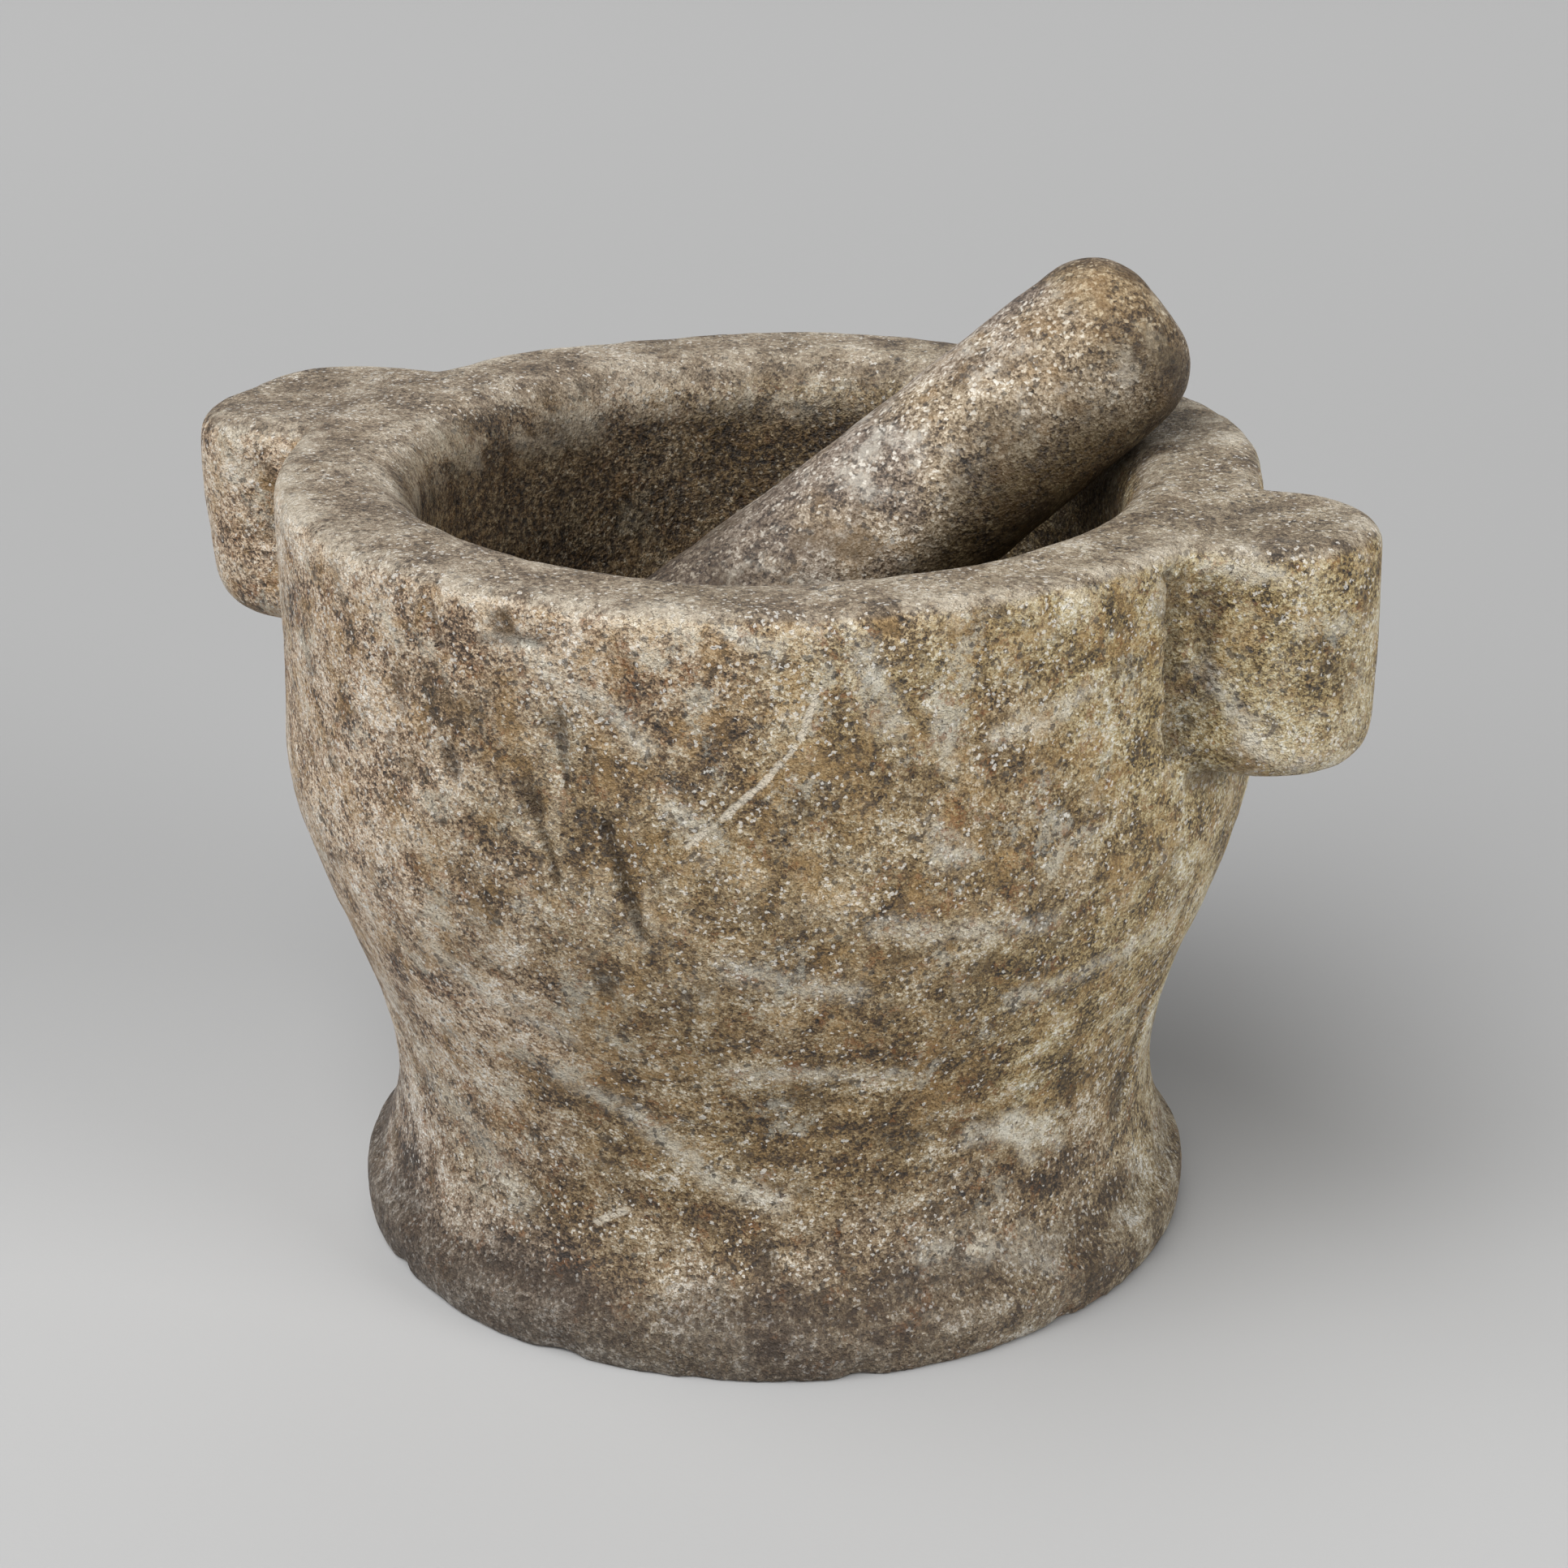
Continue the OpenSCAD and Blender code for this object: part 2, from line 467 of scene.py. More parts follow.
def finish_piece(piece, node, material):
    """Smooth shading, material, and the piece's place in the frame."""
    piece.data.polygons.foreach_set("use_smooth", [True] * len(piece.data.polygons))
    piece.data.materials.clear()
    piece.data.materials.append(material)
    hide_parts(node)
    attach(piece, node)


def mortar_darkening(points, find, cut, pits, crease, scratch):
    """Darkening at each point, 0 to 1: dirt in marks, pits and smudges, painted shade in creases;
    below 0 on a scratch.
    """
    darkening = np.clip(cut / (GOUGE_FULL * MM), 0, 1)
    darkening += np.clip(pits / (MORTAR_PIT_FULL * MM), 0, 1) * PIT_DIRT
    for azimuth, height, reach, dark in SMUDGES:
        gap = np.linalg.norm(points - find(azimuth, height), axis=1)
        darkening += dark * bump_at(gap, reach * MM)
    # Painted shade along the creases where the lugs meet the wall.
    darkening += np.clip((crease - CREASE_UNSHADED * MM) / (CREASE_FULL * MM), 0, 1) * CREASE_SHADE
    return np.clip(darkening, 0, 1) - np.clip(scratch / (SCRATCH_FULL * MM), 0, 1)


def build_mortar(contacts):
    piece = copy_of("mortar", "mortar_stone_body")
    remesh(piece, MORTAR_VOXEL)
    soften(piece)
    points = read_points(piece)
    normals = read_points(piece, "normal")
    radius = np.hypot(points[:, 0], points[:, 1])
    find = wall_finder(piece)

    lift = waves(points, MORTAR_WAVES)
    add_swells(lift, points, find, MORTAR_SWELLS)
    add_swells(lift, points, find, LUG_SWELLS, 1 - np.abs(normals[:, 2]))
    from_ridge = (points[:, 2] - RIDGE_HEIGHT * MM) / (RIDGE_WIDTH * MM)
    on_side = (normals[:, 2] > RIDGE_LOWEST_NORMAL) & (radius > RIDGE_INNER_RADIUS * MM)
    lift += RIDGE_RISE * MM * np.exp(-(from_ridge ** 2)) * on_side
    cut = carve_marks(points, find, GOUGES)
    scratch = carve_marks(points, find, SCRATCHES)
    crease = carve_marks(points, find, CREASES)
    vein = carve_marks(points, find, VEINS) / MM
    pits = carve_pits(points, MORTAR_PIT_SEED)
    chips = carve_chips(points, find, FOOT_EDGE, FOOT_CHIPS)
    chips += carve_chips(points, find, RIM_EDGE, RIM_CHIPS)
    lift = (lift - pits) * contact_share(points, contacts) - cut - scratch - crease - chips

    points += normals * lift[:, None]
    points[:, 2] = np.maximum(points[:, 2], 0)
    write_points(piece, points)

    depth = (BOWL_TOP * MM - points[:, 2]) / (BOWL_DEPTH * MM)
    inside = (radius < BOWL_RADIUS * MM) & (points[:, 2] > BELOW_BOWL * MM)
    darkening = mortar_darkening(points, find, cut, pits, crease, scratch)
    paint_relief(piece, darkening, np.clip(depth, 0, 1) * inside, vein)
    decimate(piece, MORTAR_TRIANGLES)
    return piece


def build_pestle(contacts):
    piece = copy_of("pestle", "pestle_stone_body")
    remesh(piece, PESTLE_VOXEL)
    soften(piece)
    points = read_points(piece)
    normals = read_points(piece, "normal")
    middle = points.mean(axis=0)
    spread = np.linalg.eigh(np.cov((points - middle).T))[1]
    axis = spread[:, 2] * np.sign(spread[2, 2])
    along = (points - middle) @ axis
    share = contact_share(points, contacts)
    lift = waves(points, PESTLE_WAVES)
    for place, reach, rise in PESTLE_SWELLS:
        lift += rise * MM * np.exp(-(((along - place * MM) / (reach * MM)) ** 2))
    pits = carve_pits(points, PESTLE_PIT_SEED) * PESTLE_PIT_SHARE
    write_points(piece, points + normals * ((lift - pits) * share)[:, None])
    none = np.zeros(len(points))
    darkening = np.clip(pits / (PESTLE_PIT_FULL * MM), 0, 1) * PIT_DIRT
    paint_relief(piece, darkening, none, none)
    return piece


def closest_places():
    """The two places where the pestle rests against the mortar."""
    tree = surface_tree(frame["nodes"]["mortar"].data)
    found = []
    for vertex in frame["nodes"]["pestle"].data.vertices:
        place, _, _, gap = tree.find_nearest(vertex.co)
        found.append((gap, tuple(place)))
    places = [np.array(place) for _, place in sorted(found)]
    first = places[0]
    far = [place for place in places if np.linalg.norm(place - first) > CONTACTS_APART * MM]
    return [first, far[0]]


# ---- Materials ----

def shade(red, green, blue):
    """A colour given as 0 to 255 screen values, as the linear colour the shader wants."""
    def linear(value):
        value = value / 255
        return value / 12.92 if value <= 0.04045 else ((value + 0.055) / 1.055) ** 2.4
    return (linear(red), linear(green), linear(blue), 1.0)


class Graph:
    """A short way to write a material: each call adds one node and returns its output."""

    def __init__(self, name):
        self.material = bpy.data.materials.new(name)
        self.material.use_nodes = True
        self.tree = self.material.node_tree
        self.tree.nodes.clear()
        self.place = self.tree.nodes.new("ShaderNodeTexCoord").outputs["Object"]

    def put(self, socket, value):
        """Gives a socket another node's output, or a constant."""
        if isinstance(value, bpy.types.NodeSocket):
            self.tree.links.new(value, socket)
        else:
            socket.default_value = value

    def node(self, kind, **settings):
        node = self.tree.nodes.new(kind)
        for key, value in settings.items():
            setattr(node, key, value)
        return node

    def math(self, operation, first, second=0.0):
        node = self.node("ShaderNodeMath", operation=operation)
        self.put(node.inputs[0], first)
        self.put(node.inputs[1], second)
        return node.outputs[0]

    def add(self, *values):
        total = values[0]
        for value in values[1:]:
            total = self.math("ADD", total, value)
        return total

    def times(self, first, second):
        return self.math("MULTIPLY", first, second)

    def around_zero(self, value):
        """Moves noise from around a half to around zero."""
        return self.math("SUBTRACT", value, 0.5)

    def steps(self, value, low, high, start=0.0, end=1.0):
        """Turns low to high into start to end, smoothly."""
        node = self.node("ShaderNodeMapRange", interpolation_type="SMOOTHSTEP")
        for socket, number in zip(node.inputs, (value, low, high, start, end)):
            self.put(socket, number)
        return node.outputs[0]

    def moved(self, scale, shift=0.0):
        """The place, stretched, and shifted so that each noise has its own pattern."""
        node = self.node("ShaderNodeMapping")
        self.put(node.inputs["Vector"], self.place)
        node.inputs["Location"].default_value = (shift, shift * 0.7, shift * 1.3)
        node.inputs["Scale"].default_value = scale
        return node.outputs[0]

    def cloud(self, size, detail=3.0, rough=0.55, shift=0.0, distortion=0.0, place=None):
        """Soft noise whose blotches are that many millimetres across."""
        node = self.node("ShaderNodeTexNoise")
        self.put(node.inputs["Vector"], place or self.moved((1, 1, 1), shift))
        node.inputs["Scale"].default_value = 1000.0 / size
        node.inputs["Detail"].default_value = detail
        node.inputs["Roughness"].default_value = rough
        node.inputs["Distortion"].default_value = distortion
        return node.outputs["Fac"]

    def grains(self, size, shift=0.0, place=None):
        """Mineral grains of that many millimetres: two random values a grain, and its dome."""
        node = self.node("ShaderNodeTexVoronoi")
        self.put(node.inputs["Vector"], place or self.moved((1, 1, 1), shift))
        node.inputs["Scale"].default_value = 1000.0 / size
        split = self.node("ShaderNodeSeparateColor")
        self.put(split.inputs[0], node.outputs["Color"])
        return split.outputs[0], split.outputs[1], node.outputs["Distance"]

    def warp(self, size, amount):
        """The place, pushed about by noise, so that grains get ragged outlines."""
        node = self.node("ShaderNodeTexNoise")
        self.put(node.inputs["Vector"], self.place)
        node.inputs["Scale"].default_value = 1000.0 / size
        node.inputs["Detail"].default_value = 2.0
        centre = self.node("ShaderNodeVectorMath", operation="SUBTRACT")
        self.put(centre.inputs[0], node.outputs["Color"])
        centre.inputs[1].default_value = (0.5, 0.5, 0.5)
        push = self.node("ShaderNodeVectorMath", operation="SCALE")
        self.put(push.inputs[0], centre.outputs[0])
        push.inputs["Scale"].default_value = amount * MM
        total = self.node("ShaderNodeVectorMath", operation="ADD")
        self.put(total.inputs[0], self.place)
        self.put(total.inputs[1], push.outputs[0])
        return total.outputs[0]

    def along(self, direction):
        """Distance in metres along a direction from the object's origin."""
        node = self.node("ShaderNodeVectorMath", operation="DOT_PRODUCT")
        self.put(node.inputs[0], self.place)
        node.inputs[1].default_value = direction
        return node.outputs["Value"]

    def painted(self, name):
        """The mesh layer of that name, painted by paint_relief."""
        return self.node("ShaderNodeAttribute", attribute_name=name).outputs["Fac"]

    def palette(self, value, stops):
        """The colour of the palette at that brightness."""
        node = self.node("ShaderNodeValToRGB")
        self.put(node.inputs[0], value)
        stones = node.color_ramp.elements
        while len(stones) < len(stops):
            stones.new(1.0)
        for stone, (position, colour) in zip(stones, stops):
            stone.position = position
            stone.color = colour
        return node.outputs[0]

    def mix(self, amount, first, second, blend="MIX"):
        """Blends two colours, which the node takes on its sockets 6 and 7."""
        node = self.node("ShaderNodeMix", data_type="RGBA", blend_type=blend)
        self.put(node.inputs["Factor"], amount)
        self.put(node.inputs[6], first)
        self.put(node.inputs[7], second)
        return node.outputs[2]

    def bump(self, height, depth, strength=1.0, under=None):
        """Bump of a height field from 0 to 1, that many millimetres deep."""
        node = self.node("ShaderNodeBump")
        self.put(node.inputs["Height"], height)
        node.inputs["Distance"].default_value = depth * MM
        node.inputs["Strength"].default_value = strength
        if under is not None:
            self.put(node.inputs["Normal"], under)
        return node.outputs[0]

    def finish(self, colour, roughness, normal, specular):
        shader = self.node("ShaderNodeBsdfPrincipled")
        self.put(shader.inputs["Base Color"], colour)
        self.put(shader.inputs["Roughness"], roughness)
        self.put(shader.inputs["Normal"], normal)
        shader.inputs["Specular IOR Level"].default_value = specular
        output = self.node("ShaderNodeOutputMaterial")
        self.put(output.inputs["Surface"], shader.outputs[0])
        return self.material


WARM = [
    (0.00, shade(40, 33, 28)), (0.24, shade(96, 77, 61)), (0.40, shade(165, 138, 110)),
    (0.55, shade(208, 184, 155)), (0.74, shade(227, 213, 194)), (1.00, shade(244, 240, 232)),
]
BROWN = [
    (0.00, shade(34, 27, 20)), (0.24, shade(70, 52, 32)), (0.40, shade(107, 84, 50)),
    (0.55, shade(135, 111, 73)), (0.74, shade(164, 145, 111)), (1.00, shade(218, 208, 190)),
]
OLIVE = [
    (0.00, shade(38, 33, 26)), (0.24, shade(88, 72, 48)), (0.40, shade(143, 121, 77)),
    (0.55, shade(176, 155, 108)), (0.74, shade(202, 189, 152)), (1.00, shade(234, 232, 220)),
]
GREY = [
    (0.00, shade(36, 31, 28)), (0.24, shade(72, 61, 54)), (0.40, shade(106, 92, 80)),
    (0.55, shade(134, 120, 107)), (0.74, shade(168, 157, 144)), (1.00, shade(222, 216, 208)),
]
WORN = [
    (0.00, shade(60, 51, 43)), (0.24, shade(102, 89, 74)), (0.40, shade(121, 107, 90)),
    (0.55, shade(140, 126, 107)), (0.74, shade(164, 151, 132)), (1.00, shade(206, 197, 183)),
]
FAWN = [
    (0.00, shade(36, 30, 25)), (0.24, shade(78, 64, 49)), (0.40, shade(124, 107, 84)),
    (0.55, shade(153, 136, 111)), (0.74, shade(184, 170, 148)), (1.00, shade(232, 225, 212)),
]


# Spots, veins and dirt of the mortar.
BROWN_STAIN = shade(96, 77, 48)
OCHRE_STAIN = shade(168, 134, 82)
RUST_SPOT = shade(132, 86, 42)
DARK_BLOT = shade(74, 60, 44)
PALE_BLOOM = shade(196, 192, 176)
PALE_VEIN = shade(214, 208, 192)
DARK_FLECK = shade(50, 46, 43)
PALE_FLECK = shade(232, 228, 220)
GRIME_AND_SHADE = shade(57, 45, 33)
RUBBED_EDGE = shade(208, 198, 180)

# Painted shade inside the bowl, which darkens the stone colour below it.
BOWL_SHADE = shade(124, 114, 99)
BOWL_SHADE_IN_GRAIN = shade(124, 115, 101)
BOWL_LESS_SHADED_GRAIN = shade(228, 219, 202)
LEFT_WALL_SHADE = shade(188, 181, 164)

# Stains and spots of the pestle, then the darkening of its top end, the painted shade of its
# lower end, and the stain and painted shade of its underside.
PESTLE_OCHRE = shade(146, 116, 74)
PESTLE_STAIN = shade(90, 72, 50)
PESTLE_BLOOM = shade(196, 190, 178)
PESTLE_DARK_FLECK = shade(56, 51, 47)
PESTLE_PALE_FLECK = shade(224, 219, 209)
PESTLE_PIT_DIRT = shade(66, 55, 45)
DARKER_TOP_END = shade(212, 201, 180)
LOWER_END_SHADE = shade(182, 176, 167)
UNDERSIDE_STAIN_AND_SHADE = shade(126, 115, 92)

# Directions along which the stones' colours change.
ACROSS_FRONT = (0.9125, 0.409, 0.0)
UPWARD = (0.0, 0.0, 1.0)
PESTLE_AXIS = (0.649, 0.471, 0.598)
PESTLE_DOWNWARD = (0.70, -0.06, -0.71)


def stone_tone(graph, weights):
    """Brightness of the stone around 0.5: broad mottling, grit, and two sizes of mineral grain."""
    mottle = graph.cloud(17.0, 7.0, 0.74, shift=4.2, distortion=0.3)
    grit = graph.cloud(1.9, 3.0, 0.80, shift=1.7)
    ragged = graph.warp(1.2, 0.9)
    grain, tint, dome = graph.grains(0.90, place=ragged)
    fine, _, _ = graph.grains(0.50, shift=2.2, place=ragged)
    tone = 0.5
    for field, weight in zip((mottle, grit, grain, fine), weights):
        tone = graph.add(tone, graph.times(graph.around_zero(field), weight))
    return tone, mottle, grit, tint, dome


def add_flecks(graph, stone, size, shift, sparse, dense, colour, share):
    """Scatters ragged mineral flecks, gathered in clusters."""
    chosen, _, _ = graph.grains(size, shift=shift, place=graph.warp(size, size * 0.9))
    cluster = graph.cloud(20.0, 4.0, 0.65, shift=shift)
    needed = graph.steps(cluster, 0.42, 0.62, sparse, dense)
    inside = graph.math("GREATER_THAN", chosen, needed)
    return graph.mix(graph.times(inside, share), stone, colour)


def mortar_zones(graph, tone, across, height, drift):
    """The mortar's broad colours: warm on the left, olive on the right, brown and painted shade
    between, grey below.
    """
    side = graph.steps(graph.add(across, drift), -0.060, 0.040)
    stone = graph.mix(side, graph.palette(tone, WARM), graph.palette(tone, OLIVE))
    middle = graph.math("ABSOLUTE", graph.add(across, graph.times(drift, 0.5)))
    # Browner and darker in the lower middle: a brown stain that also paints the shade under the
    # belly.
    tan_and_shade = graph.times(graph.steps(middle, 0.105, 0.040), graph.steps(height, 0.228, 0.165))
    stone = graph.mix(graph.times(tan_and_shade, 0.90), stone, graph.palette(tone, BROWN))
    foot = graph.steps(graph.add(height, graph.times(drift, 0.3)), 0.070, 0.012)
    foot = graph.times(foot, graph.steps(graph.add(across, drift), -0.070, 0.010, 0.85, 0.40))
    return graph.mix(foot, stone, graph.palette(tone, GREY))


def mortar_stains(graph, stone, height, tint):
    """Brown, ochre, pale, rusty and dark stains over the zones, and the pale veins."""
    stain_field = graph.cloud(15.0, 7.0, 0.76, shift=12.0, distortion=0.5)
    stain = graph.steps(stain_field, 0.545, 0.61, 0.0, 0.50)
    stone = graph.mix(stain, stone, BROWN_STAIN)
    ochre_field = graph.cloud(13.0, 6.0, 0.70, shift=63.0, distortion=0.4)
    ochre = graph.times(graph.steps(ochre_field, 0.50, 0.60), graph.steps(height, 0.030, 0.080))
    stone = graph.mix(graph.times(ochre, 0.40), stone, OCHRE_STAIN)
    pale_field = graph.cloud(22.0, 9.0, 0.82, shift=17.0)
    pale = graph.steps(pale_field, 0.545, 0.61, 0.0, 0.52)
    pale = graph.times(pale, graph.steps(height, 0.020, 0.060, 0.35, 1.0))
    stone = graph.mix(pale, stone, PALE_BLOOM)
    vein_field = graph.cloud(3.2, 5.0, 0.75, shift=81.0)
    vein = graph.times(graph.painted("vein"), graph.steps(vein_field, 0.38, 0.57, 0.20, 0.92))
    stone = graph.mix(vein, stone, PALE_VEIN)
    rust_field = graph.cloud(8.0, 5.0, 0.75, shift=15.0)
    rust = graph.times(graph.steps(rust_field, 0.55, 0.62), graph.steps(tint, 0.35, 0.60))
    stone = graph.mix(graph.times(rust, 0.55), stone, RUST_SPOT)
    blot_field = graph.cloud(6.5, 5.0, 0.72, shift=51.0, distortion=0.9)
    blot_share = graph.steps(graph.cloud(48.0, 3.0, 0.6, shift=57.0), 0.44, 0.58, 0.25, 0.85)
    blot = graph.times(graph.steps(blot_field, 0.575, 0.64), blot_share)
    return graph.mix(blot, stone, DARK_BLOT)


def handled_stone(graph, stone, tone, height, bowl):
    """The duller stone of the tops and of the bowl."""
    up = graph.node("ShaderNodeSeparateXYZ")
    graph.put(up.inputs[0], graph.node("ShaderNodeNewGeometry").outputs["Normal"])
    high = graph.steps(height, 0.150, 0.190)
    top = graph.times(graph.steps(up.outputs[2], 0.35, 0.80), high)
    in_bowl = graph.steps(bowl, 0.0, 0.10, 0.0, 0.35)
    handled = graph.math("MAXIMUM", graph.times(top, 0.85), in_bowl)
    return graph.mix(handled, stone, graph.palette(tone, WORN))


def bowl_shade(graph, stone, across, bowl, drift, grit):
    """Painted shade in the bowl: darkens it, least in a band of its wall, most on its left side."""
    # Painted shade deeper in the bowl, with grain kept in a lighter band of the wall.
    deep = graph.steps(graph.add(bowl, graph.times(drift, 0.3)), -0.03, 0.15)
    in_grain = graph.mix(graph.steps(grit, 0.38, 0.62), BOWL_SHADE_IN_GRAIN, BOWL_LESS_SHADED_GRAIN)
    band_of_wall = graph.times(graph.steps(bowl, 0.03, 0.18), graph.steps(bowl, 0.62, 0.38))
    wall_shade = graph.mix(band_of_wall, BOWL_SHADE, in_grain)
    stone = graph.mix(deep, stone, wall_shade, "MULTIPLY")
    # Painted shade on the bowl's left inner wall, just below the rim.
    left_wall = graph.times(graph.steps(across, -0.03, -0.09), graph.steps(bowl, 0.0, 0.04))
    return graph.mix(left_wall, stone, LEFT_WALL_SHADE, "MULTIPLY")


def mortar_grime_and_shade(graph, stone, across, height, drift, mottle, grit):
    """Painted shade in hollows, dirt and crease shade in marks, grime and shade round the foot, pale
    scratches and edges.
    """
    mark = graph.painted("mark")
    # Grime and painted shade darken the lowest band of the foot.
    skirt = graph.steps(graph.add(height, graph.times(drift, 0.15)), 0.030, 0.017)
    skirt = graph.times(skirt, graph.steps(across, 0.000, 0.070, 1.0, 0.62))
    # Painted shade in the hollows.
    hollow = graph.times(graph.painted("hollow"), 0.62)
    grime_and_shade = graph.math("MAXIMUM", hollow, graph.times(skirt, 0.95))
    grime_and_shade = graph.times(grime_and_shade, graph.steps(grit, 0.32, 0.68, 1.0, 0.58))
    ragged_mark = graph.add(mark, graph.times(graph.around_zero(grit), 3.0))
    mark_darkening = graph.steps(ragged_mark, 0.40, 1.00, 0.0, 0.82)
    mark_darkening = graph.times(mark_darkening, graph.steps(grit, 0.36, 0.66, 1.0, 0.55))
    stone = graph.mix(graph.math("MAXIMUM", grime_and_shade, mark_darkening), stone, GRIME_AND_SHADE)
    scratch = graph.steps(graph.add(mark, graph.times(grit, -0.6)), -0.45, -1.0, 0.0, 0.75)
    edge = graph.times(graph.painted("worn"), graph.steps(mottle, 0.42, 0.58, 0.0, 0.42))
    edge = graph.times(edge, graph.steps(height, 0.080, 0.140, 0.15, 1.0))
    return graph.mix(graph.math("MAXIMUM", scratch, edge), stone, RUBBED_EDGE)


def mortar_material():
    graph = Graph("mortar_stone_surface")
    tone, mottle, grit, tint, dome = stone_tone(graph, (1.95, 0.92, 0.33, 0.34))
    across = graph.along(ACROSS_FRONT)
    height = graph.along(UPWARD)
    bowl = graph.painted("bowl")
    drift = graph.times(graph.around_zero(graph.cloud(60.0, 4.0, 0.55, shift=9.0)), 0.30)
    layers = graph.cloud(34.0, 6.0, 0.68, place=graph.moved((0.8, 0.8, 3.6), 0.3))
    low = graph.steps(height, 0.125, 0.085)
    tone = graph.add(tone, graph.times(graph.around_zero(layers), graph.times(low, 1.3)))

    stone = mortar_zones(graph, tone, across, height, drift)
    stone = mortar_stains(graph, stone, height, tint)
    stone = handled_stone(graph, stone, tone, height, bowl)
    stone = add_flecks(graph, stone, 1.25, 6.0, 0.990, 0.92, DARK_FLECK, 0.66)
    stone = add_flecks(graph, stone, 0.8, 27.0, 0.985, 0.91, PALE_FLECK, 0.62)
    stone = bowl_shade(graph, stone, across, bowl, drift, grit)
    stone = mortar_grime_and_shade(graph, stone, across, height, drift, mottle, grit)

    rough = graph.steps(tint, 0.80, 0.98, 0.60, 0.28)
    relief = graph.bump(dome, 0.45, 0.8)
    relief = graph.bump(grit, 1.7, 1.0, relief)
    relief = graph.bump(mottle, 5.0, 0.6, relief)
    return graph.finish(stone, rough, relief, 0.45)


def pestle_material():
    graph = Graph("pestle_stone_surface")
    tone, _, grit, tint, dome = stone_tone(graph, (1.5, 0.90, 0.36, 0.34))
    lower = graph.along(PESTLE_DOWNWARD)
    drift = graph.times(graph.around_zero(graph.cloud(50.0, 4.0, 0.55, shift=31.0)), 0.14)
    side = graph.steps(graph.add(lower, drift), -0.140, -0.112)
    stone = graph.mix(side, graph.palette(tone, GREY), graph.palette(tone, FAWN))
    ochre = graph.steps(graph.cloud(15.0, 6.0, 0.70, shift=65.0), 0.50, 0.60, 0.0, 0.42)
    stone = graph.mix(graph.times(ochre, side), stone, PESTLE_OCHRE)
    stain = graph.steps(graph.cloud(20.0, 6.0, 0.66, shift=37.0), 0.52, 0.62, 0.0, 0.60)
    stone = graph.mix(stain, stone, PESTLE_STAIN)
    pale = graph.steps(graph.cloud(18.0, 8.0, 0.75, shift=43.0), 0.52, 0.64, 0.0, 0.6)
    stone = graph.mix(pale, stone, PESTLE_BLOOM)
    stone = add_flecks(graph, stone, 1.3, 3.0, 0.975, 0.88, PESTLE_DARK_FLECK, 0.58)
    stone = add_flecks(graph, stone, 0.9, 29.0, 0.98, 0.91, PESTLE_PALE_FLECK, 0.52)

    grip = graph.add(graph.along(PESTLE_AXIS), graph.times(lower, 0.35), drift)
    # Darker towards the top end.
    stone = graph.mix(graph.steps(grip, 0.165, 0.196), stone, DARKER_TOP_END, "MULTIPLY")
    # Painted shade on the lower end, which lies in the bowl.
    stone = graph.mix(graph.steps(grip, 0.105, 0.035), stone, LOWER_END_SHADE, "MULTIPLY")
    # The underside: a stain and painted shade.
    under = graph.steps(graph.add(lower, graph.times(drift, 0.4)), -0.122, -0.098)
    stone = graph.mix(under, stone, UNDERSIDE_STAIN_AND_SHADE, "MULTIPLY")
    stone = graph.mix(graph.times(graph.painted("mark"), 0.6), stone, PESTLE_PIT_DIRT)
    rough = graph.steps(tint, 0.78, 0.98, 0.58, 0.36)
    relief = graph.bump(dome, 0.35, 0.7)
    relief = graph.bump(grit, 0.95, 1.0, relief)
    return graph.finish(stone, rough, relief, 0.4)


# ---- Stage, lights and camera ----

def direction(azimuth, elevation):
    """Unit vector towards a viewer at that azimuth and elevation."""
    a, e = math.radians(azimuth), math.radians(elevation)
    return Vector((math.sin(a) * math.cos(e), -math.cos(a) * math.cos(e), math.sin(e)))


FLOOR_FRONT = shade(167, 167, 167)
FLOOR_BEHIND = shade(154, 154, 154)
FLOOR_FAR = shade(165, 165, 165)
FLOOR_SHADE_UNDER_LIGHTS = shade(138, 138, 138)
BEHIND_MORTAR = (-0.41, 0.91, 0.0)


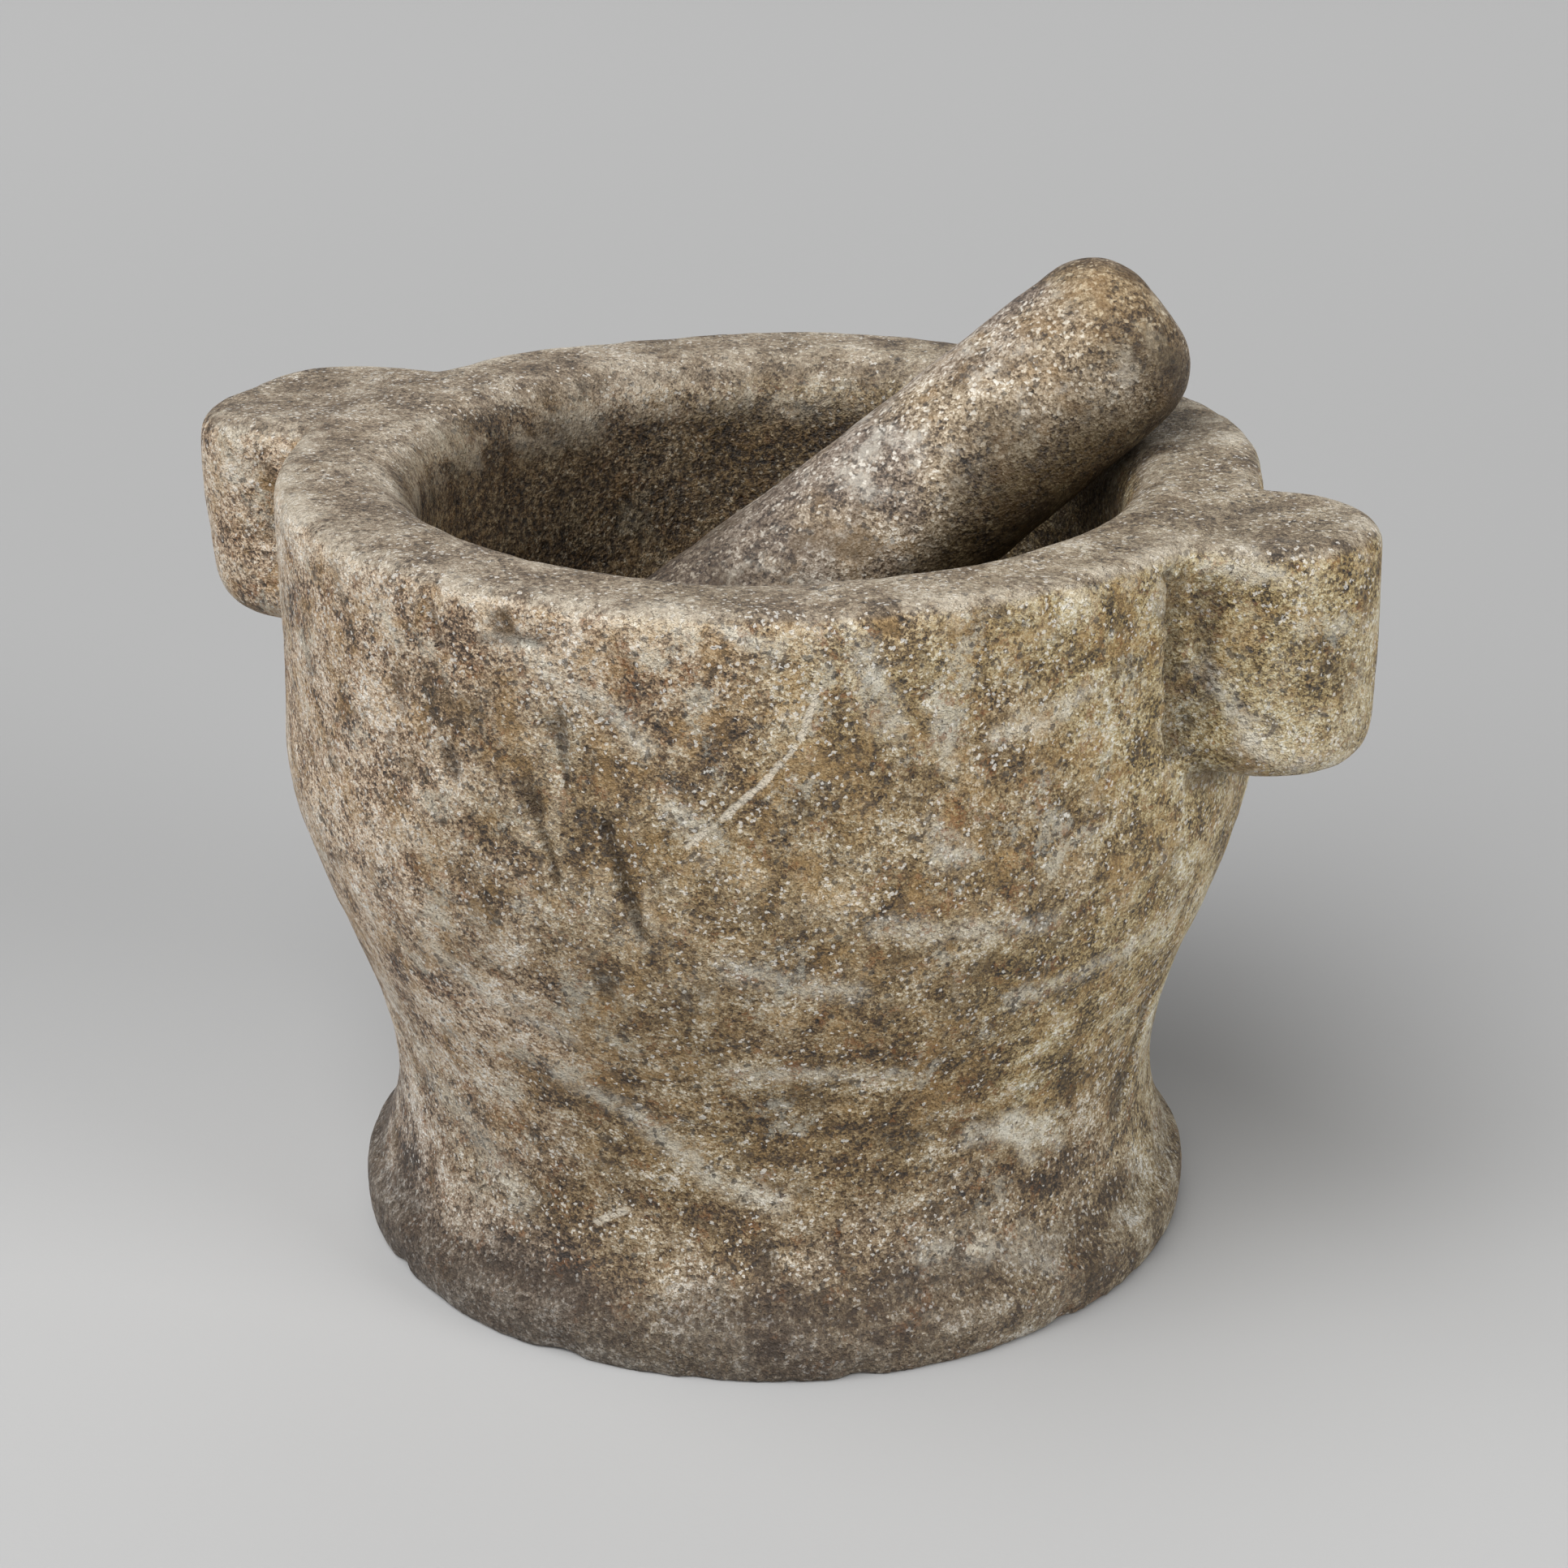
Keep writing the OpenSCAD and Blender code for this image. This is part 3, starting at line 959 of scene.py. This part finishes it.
def add_floor():
    bpy.ops.mesh.primitive_circle_add(
        vertices=FLOOR_SIDES, radius=FLOOR_RADIUS, fill_type="NGON")
    floor = bpy.context.object
    floor.name = "floor"
    graph = Graph("floor_paper")
    behind = graph.along(BEHIND_MORTAR)
    # Painted light and shade: the floor's tone changes with distance in place of the lights' falloff.
    colour = graph.mix(graph.steps(behind, -0.05, 0.28), FLOOR_FRONT, FLOOR_BEHIND)
    colour = graph.mix(graph.steps(behind, 0.3, 2.2), colour, FLOOR_FAR)
    colour = graph.mix(graph.steps(behind, -0.4, -1.6), colour, FLOOR_SHADE_UNDER_LIGHTS)
    paper = graph.bump(graph.cloud(1.2, 3.0, 0.6), 0.08, 0.4)
    floor.data.materials.append(graph.finish(colour, 0.9, paper, 0.2))


def add_light(name, azimuth, elevation, width, power):
    lamp = bpy.data.lights.new(name, "AREA")
    lamp.shape = "DISK"
    lamp.size = width
    lamp.energy = power
    holder = bpy.data.objects.new(name, lamp)
    bpy.context.scene.collection.objects.link(holder)
    towards = direction(azimuth, elevation)
    holder.location = Vector(LIGHT_AIM) + towards * LIGHT_DISTANCE
    holder.rotation_euler = towards.to_track_quat("Z", "Y").to_euler()


def add_world():
    world = bpy.data.worlds.new("studio")
    world.use_nodes = True
    background = world.node_tree.nodes["Background"]
    background.inputs["Color"].default_value = (1, 1, 1, 1)
    background.inputs["Strength"].default_value = WORLD_BRIGHTNESS
    bpy.context.scene.world = world


def add_camera():
    lens = bpy.data.cameras.new("camera")
    lens.lens = CAMERA_LENS
    lens.sensor_width = CAMERA_SENSOR
    lens.clip_end = 50
    camera = bpy.data.objects.new("camera", lens)
    bpy.context.scene.collection.objects.link(camera)
    towards = direction(CAMERA_AZIMUTH, CAMERA_ELEVATION)
    camera.location = Vector(CAMERA_AIM) * MM + towards * CAMERA_DISTANCE * MM
    level = towards.to_track_quat("Z", "Y")
    roll = Quaternion((0, 0, 1), math.radians(CAMERA_ROLL))
    camera.rotation_mode = "QUATERNION"
    camera.rotation_quaternion = level @ roll
    bpy.context.scene.camera = camera


add_camera()
resting = closest_places()
finish_piece(build_mortar(resting), "mortar", mortar_material())
finish_piece(build_pestle(resting), "pestle", pestle_material())
add_floor()
add_world()
for light in LIGHTS:
    add_light(*light)
bpy.context.scene.view_settings.view_transform = "Standard"
